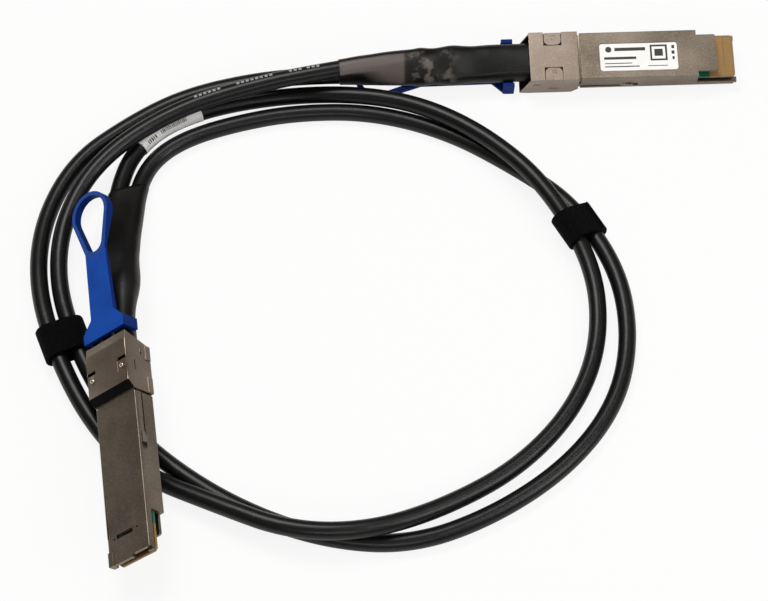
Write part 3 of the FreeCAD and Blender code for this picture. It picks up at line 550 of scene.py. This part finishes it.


# ---------------------------------------------------------------- die-cast shells
# Zinc die castings with satin nickel plating: a fine cast speckle, warm grey-brown.
def metal_finish(name, dark, light, speckle, rough, relief, grit):
    """A metal whose tone clouds over 14 mm, with bright specks and a grain. Its grit is in millimetres."""
    made, tree, skin = material(name, Metallic=1.0)
    place = add(tree, "ShaderNodeTexCoord")
    cloud = add(tree, "ShaderNodeTexNoise", {"Vector": place.outputs["Object"]}, Scale=70.0, Detail=4.0)
    specks = add(tree, "ShaderNodeTexNoise", {"Vector": place.outputs["Object"]}, Scale=1.0 / (grit * MM),
                 Detail=3.0)
    tone = add(tree, "ShaderNodeValToRGB", {"Fac": cloud.outputs["Fac"]},
               stops=((0.3, dark), (0.72, light)))
    speck = add(tree, "ShaderNodeValToRGB", {"Fac": specks.outputs["Fac"]}, stops=((0.52, 0), (0.72, 1)))
    share = add(tree, "ShaderNodeMath", {0: speck.outputs["Color"], 1: speckle}, operation="MULTIPLY")
    colour = add(tree, "ShaderNodeMix", {0: share.outputs[0], 6: tone.outputs["Color"], 7: srgb("#e9dfcc")},
                 data_type="RGBA")
    gloss = add(tree, "ShaderNodeMapRange", {"Value": specks.outputs["Fac"]}, To_Min=rough - 0.07,
                To_Max=rough + 0.1)
    grain = add(tree, "ShaderNodeBump", {"Height": specks.outputs["Fac"]}, Strength=relief,
                Distance=0.00004)
    tree.links.new(colour.outputs[2], skin.inputs["Base Color"])
    tree.links.new(gloss.outputs["Result"], skin.inputs["Roughness"])
    tree.links.new(grain.outputs["Normal"], skin.inputs["Normal"])
    return made


# Corners this close are one, edges flatter than FLAT go, and edges over SHARP stay crisp in shading.
SAME_PLACE = 1e-6
FLAT, SHARP, EASED = math.radians(0.5), math.radians(28), math.radians(35)


def eased(node, paint, body=ASSEMBLY, width=0.12):
    """A copy of a CAD node with its loose triangles joined and its sharp edges eased."""
    bm = bmesh.new()
    bm.from_mesh(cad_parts[node].data)
    bmesh.ops.remove_doubles(bm, verts=bm.verts, dist=SAME_PLACE)
    bmesh.ops.dissolve_limit(bm, angle_limit=FLAT, verts=bm.verts, edges=bm.edges)
    piece = finished(bm, node + "_eased", paint, body, [node])
    piece.data.shade_smooth()
    piece.data.set_sharp_from_angle(angle=SHARP)
    ease = piece.modifiers.new("eased_edges", "BEVEL")
    ease.width = width * MM
    ease.segments = 2
    ease.limit_method = "ANGLE"
    ease.angle_limit = EASED
    ease.harden_normals = True
    return piece


cast_nickel = metal_finish("satin_nickel_on_zinc_casting", "#6a6055", "#8c8073", 0.32, 0.36, 0.5, 0.27)
for plug in PLUGS:
    for shell in ("top_shell", "bottom_shell"):
        eased(f"{plug}_{shell}", cast_nickel)


# ---------------------------------------------------------------- backshells and covers
# Folded steel sheet, 0.4 mm thick, under a smoother and paler nickel than the castings. The slope that
# faces the nose is painted near-black as shade, and the two small bosses that hold the crimp are painted
# a pale nickel as a highlight.
sheet_nickel = metal_finish("satin_nickel_on_steel_sheet", "#887a6e", "#9d9084", 0.15, 0.3, 0.2, 0.5)
# A near-black painted shade for the slope that faces the nose.
slope_painted_shade = material("steel_slope_painted_shade", Base_Color=srgb("#040303"), Roughness=0.5,
                     Specular_IOR_Level=0.08)[0]
# The domes' pale colour is a painted highlight.
dome_painted_highlight = material("crimp_dome_painted_highlight", Base_Color=srgb("#d9cebe"), Metallic=1.0, Roughness=0.22)[0]
DOME_ALONG, DOME_SIDE, DOME_LEVEL = 67.6, 7, 11.4
DOME_RADIUS, DOME_SQUASH = 0.9, 0.5
# A face belongs to the slope, which takes the near-black painted shade, when it leans at least this far up
# and towards the nose, above this level.
SLOPE_TILT, SLOPE_LEVEL = 0.3, 9
for plug in PLUGS:
    bm = bmesh.new()
    for y in (-DOME_SIDE, DOME_SIDE):
        boss = Matrix.Translation(Vector((DOME_ALONG, y, DOME_LEVEL)) * MM)
        dome = boss @ Matrix.Diagonal((1, 1, DOME_SQUASH, 1))
        bmesh.ops.create_uvsphere(bm, u_segments=20, v_segments=10, radius=DOME_RADIUS * MM,
                                  matrix=PLACES[plug] @ dome)
    domes = finished(bm, f"{plug}_crimp_domes", dome_painted_highlight)
    domes.data.shade_smooth()
    for node in ("backshell", "backshell_cover"):
        sheet = eased(f"{plug}_{node}", sheet_nickel, width=0.1)
        sheet.data.materials.append(slope_painted_shade)
        back = PLACES[plug].inverted()
        for face in sheet.data.polygons:
            normal, middle = back.to_3x3() @ face.normal, back @ face.center / MM
            if normal.z > SLOPE_TILT and normal.x < -SLOPE_TILT and middle.z > SLOPE_LEVEL:
                face.material_index = 1


# ---------------------------------------------------------------- release sliders and return springs
# Stamped spring steel, bright on its sheared edges, with a wire spring on each side of the plate.
spring_steel = metal_finish("stamped_spring_steel", "#6f685e", "#8f877b", 0.2, 0.27, 0.2, 0.3)
BODIES = {"plug_a": "release_a", "plug_b": "release_b"}


def painted(node, paint):
    """Gives a finish to a CAD node that is shown as it is."""
    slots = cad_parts[node].data.materials
    slots.clear()
    slots.append(paint)


for plug, body in BODIES.items():
    eased(f"{plug}_release_slider", spring_steel, body, width=0.05)
    for side in ("left", "right"):
        painted(f"{plug}_return_spring_{side}", spring_steel)


# ---------------------------------------------------------------- pull tabs
# Injection-moulded blue nylon with a fine spark-eroded texture of 0.3 mm and a soft satin sheen. The strap
# has a flange at the slider, a slot before the loop, and a slim round rim for the finger.
blue_nylon, tree, skin = material("moulded_blue_nylon", Roughness=0.45, Specular_IOR_Level=0.18)
place = add(tree, "ShaderNodeTexCoord")
cloud = add(tree, "ShaderNodeTexNoise", {"Vector": place.outputs["Object"]}, Scale=120.0, Detail=3.0)
tone = add(tree, "ShaderNodeValToRGB", {"Fac": cloud.outputs["Fac"]},
           stops=((0.3, "#0144a4"), (0.8, "#0250b8")))
texture = add(tree, "ShaderNodeTexNoise", {"Vector": place.outputs["Object"]}, Scale=3200.0, Detail=2.0)
grain = add(tree, "ShaderNodeBump", {"Height": texture.outputs["Fac"]}, Strength=0.25, Distance=0.00003)
tree.links.new(tone.outputs["Color"], skin.inputs["Base Color"])
tree.links.new(grain.outputs["Normal"], skin.inputs["Normal"])
# The walls of the tab take a darker blue as painted shade.
tab_wall_painted_shade = material("blue_nylon_wall_painted_shade", Base_Color=srgb("#02256b"), Roughness=0.55,
                      Specular_IOR_Level=0.1)[0]
# The loop's upward faces get a painted highlight: a blue close to the strap's, with a smoother skin.
rim_painted_highlight = material("blue_nylon_rim_painted_highlight", Base_Color=srgb("#0a459f"), Roughness=0.3)[0]

# Distances along a plug from its nose, and the other sizes, in millimetres. The solid tab is plainer: here
# its loop is slimmed and drawn back, its strap narrowed and thinned, and its slot lengthened. Then each
# strap bends sideways: a shift, and a lean for each millimetre past the flange.
LOOP_MIDDLE = 130.7
LOOP_RADIUS, SLIM_RADIUS = 9.9, 8.6
LOOP_WALL = 1
LOOP_NECK = -6
LOOP_DRAW = 1.3
STRAP_BACK, STRAP_FRONT = 96.0, 121.5
STRAP_SHARE = 0.88
STRAP_TOP, STRAP_UNDER = 11.2, 10.2
HOLE_BACK, HOLE_HALF = 117.5, 4.2
HOLE_DRAW = 1.9
BENDS = {"plug_a": (-0.8, 0.07), "plug_b": (0.0, -0.045)}
for plug, body in BODIES.items():
    tab = eased(f"{plug}_pull_tab", blue_nylon, body, width=0.25)
    tab.data.materials.append(tab_wall_painted_shade)
    tab.data.materials.append(rim_painted_highlight)
    shift, lean = BENDS[plug]
    for v in tab.data.vertices:
        point = PLACES[plug].inverted() @ v.co / MM
        x, y = point.x - LOOP_MIDDLE, point.y
        if x > LOOP_NECK and math.hypot(x, y) > LOOP_RADIUS - LOOP_WALL:
            point.x = LOOP_MIDDLE + x * SLIM_RADIUS / LOOP_RADIUS
            point.y = y * SLIM_RADIUS / LOOP_RADIUS
        elif STRAP_BACK < point.x < STRAP_FRONT:
            point.y *= STRAP_SHARE
            if point.x > HOLE_BACK and abs(y) < HOLE_HALF:
                point.x -= HOLE_DRAW
            elif point.x < HOLE_BACK and point.z < STRAP_UNDER:
                point.z = STRAP_UNDER
        if x > LOOP_NECK:
            point.x += LOOP_DRAW
        point.z = min(point.z, STRAP_TOP)
        if point.x > STRAP_BACK:
            point.y += shift + lean * (point.x - STRAP_BACK)
        v.co = PLACES[plug] @ (point * MM)
    tab.data.update()
    # Upward faces take the nylon, those on the loop the painted highlight, and all other faces, the walls,
    # the painted shade.
    up = PLACES[plug].to_3x3().col[2]
    for face in tab.data.polygons:
        on_rim = (PLACES[plug].inverted() @ face.center).x > STRAP_FRONT * MM
        face.material_index = (2 if on_rim else 0) if face.normal.dot(up) > 0.5 else 1


# ---------------------------------------------------------------- cards, contacts and what is inside
# Glass-epoxy card: bare tan laminate with gold pads at the front edge, green solder mask behind it. Its
# glass shows as flecks of 0.4 mm, and the tracks under the mask as patches of 2 mm.
bare_laminate, tree, skin = material("bare_glass_epoxy_edge", Roughness=0.45)
place = add(tree, "ShaderNodeTexCoord")
fibre = add(tree, "ShaderNodeTexNoise", {"Vector": place.outputs["Object"]}, Scale=2500.0, Detail=3.0)
tone = add(tree, "ShaderNodeValToRGB", {"Fac": fibre.outputs["Fac"]},
           stops=((0, "#6f5430"), (1, "#9c7d4d")))
tree.links.new(tone.outputs["Color"], skin.inputs["Base Color"])

solder_mask, tree, skin = material("green_solder_mask", Roughness=0.3)
place = add(tree, "ShaderNodeTexCoord")
traces = add(tree, "ShaderNodeTexNoise", {"Vector": place.outputs["Object"]}, Scale=500.0, Detail=2.0)
tone = add(tree, "ShaderNodeValToRGB", {"Fac": traces.outputs["Fac"]},
           stops=((0, "#0f4a38"), (1, "#1e6b4f")))
tree.links.new(tone.outputs["Color"], skin.inputs["Base Color"])

gold = metal_finish("hard_gold_plating", "#a48250", "#ba955f", 0.08, 0.34, 0.1, 0.2)
film_wrap = metal_finish("aluminised_polyester_film", "#9aa0a6", "#b4b9be", 0.2, 0.3, 0.6, 0.4)

moulded_black, tree, skin = material("moulded_black_nylon", Roughness=0.5)
place = add(tree, "ShaderNodeTexCoord")
cloud = add(tree, "ShaderNodeTexNoise", {"Vector": place.outputs["Object"]}, Scale=700.0, Detail=3.0)
tone = add(tree, "ShaderNodeValToRGB", {"Fac": cloud.outputs["Fac"]},
           stops=((0, "#131314"), (1, "#242426")))
tree.links.new(tone.outputs["Color"], skin.inputs["Base Color"])

MASK_FRONT = 10.7 * MM
for plug in PLUGS:
    bm = bmesh.new()
    bm.from_mesh(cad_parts[f"{plug}_paddle_card"].data)
    bmesh.ops.remove_doubles(bm, verts=bm.verts, dist=SAME_PLACE)
    along = PLACES[plug].to_3x3().col[0]
    edge_of_mask = PLACES[plug] @ Vector((MASK_FRONT, 0, 0))
    bmesh.ops.bisect_plane(bm, geom=bm.verts[:] + bm.edges[:] + bm.faces[:], plane_co=edge_of_mask,
                           plane_no=along)
    for face in bm.faces:
        face.material_index = 1 if (face.calc_center_median() - edge_of_mask).dot(along) > 0 else 0
    card = finished(bm, f"{plug}_card_and_mask", bare_laminate,
                    stands_for=[f"{plug}_paddle_card"])
    card.data.materials.append(solder_mask)
    painted(f"{plug}_card_contacts", gold)
    painted(f"{plug}_memory_chip", moulded_black)
    painted(f"{plug}_conductor_pairs", film_wrap)
    painted(f"{plug}_strain_clamp", moulded_black)


# ---------------------------------------------------------------- label on the second plug
# White polyester stock in its recess. Its print is a plain set of bars, a dot and a framed block on the
# label's face. Each bar has its two ends along the plug and its two sides across it.
eased("plug_b_label", tag_film, width=0.02)
LABEL_FACE = 0.045
BARS = [(34.2, 45.5, 1.45, 2.75), (37.7, 49.5, -1.9, -0.9), (39.3, 49.3, -3.65, -3.3),
        (36.7, 49.3, -5, -4.55), (26.3, 33.5, -4.9, -4.6), (23.5, 24.5, 2, 3.3), (23.5, 24.6, -0.2, 1.1),
        (23.6, 24.4, -2.4, -1.2), (26.2, 32.5, 2.9, 3.6), (26.2, 32.5, -2.7, -2), (31.8, 32.5, -2, 2.9),
        (26.2, 26.9, -2, 2.9), (27.8, 30.9, -0.9, 1.9)]
DOT_PLACE, DOT_RADIUS = (47.75, 2.1, LABEL_FACE), 1.15 * MM
bm = bmesh.new()
for x0, x1, y0, y1 in BARS:
    patch = bmesh.ops.create_grid(bm, x_segments=1, y_segments=1, size=0.5)["verts"]
    middle = Matrix.Translation(Vector(((x0 + x1) / 2, (y0 + y1) / 2, LABEL_FACE)) * MM)
    stretch = Matrix.Diagonal(((x1 - x0) * MM, (y1 - y0) * MM, 1, 1))
    bmesh.ops.transform(bm, matrix=middle @ stretch, verts=patch)
dot = Matrix.Translation(Vector(DOT_PLACE) * MM)
bmesh.ops.create_circle(bm, cap_ends=True, segments=24, radius=DOT_RADIUS, matrix=dot)
bmesh.ops.transform(bm, matrix=PLACES["plug_b"], verts=bm.verts)
finished(bm, "plug_b_label_bars", print_ink)
